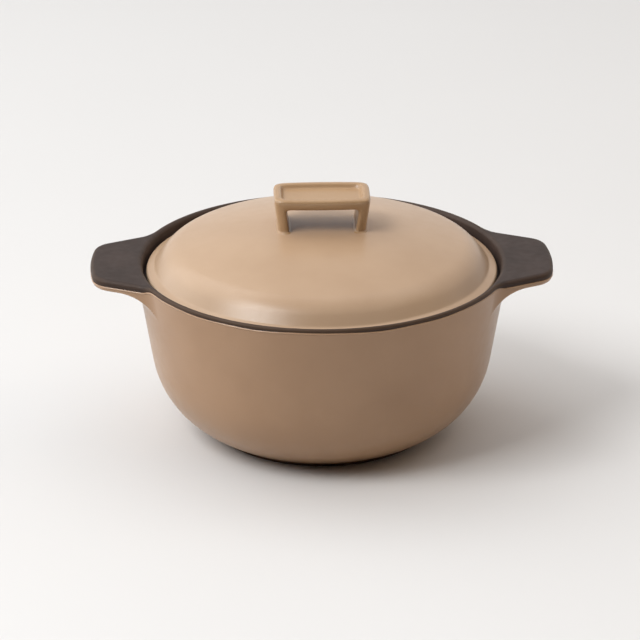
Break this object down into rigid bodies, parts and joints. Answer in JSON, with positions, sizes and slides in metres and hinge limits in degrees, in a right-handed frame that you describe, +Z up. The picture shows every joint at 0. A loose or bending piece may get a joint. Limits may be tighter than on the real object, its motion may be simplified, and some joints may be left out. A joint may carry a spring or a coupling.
{
  "type": "ceramic casserole pot with lid",
  "caption": "Round-bellied two-tone ceramic pot with flat lug handles, a dark glazed inside and rim, and a domed lift-off lid carried by a bridge handle.",
  "frame": {"origin": "centre of the foot ring's underside, on the surface that the pot stands on", "axes": "+Z up along the bowl's axis, the lugs and the lid handle's long side lie along X, the front looks along -Y"},
  "size_m": [0.2974, 0.2394, 0.16],
  "materials": {
    "tan_glaze": "satin tan glaze over stoneware",
    "dark_glaze": "dark brown satin glaze"
  },
  "bodies": {
    "pot": {"bowl": "tan_glaze", "bowl_lining": "dark_glaze", "right_lug": "tan_glaze", "right_lug_glaze": "dark_glaze", "left_lug": "tan_glaze", "left_lug_glaze": "dark_glaze"},
    "lid": {"lid_dome": "tan_glaze", "lid_lining": "dark_glaze", "lid_handle": "tan_glaze"}
  },
  "joints": [
    {"name": "lid_lift", "type": "slide", "parent": "pot", "child": "lid", "axis": [0, 0, 1], "range_m": [0, 0.15]}
  ]
}
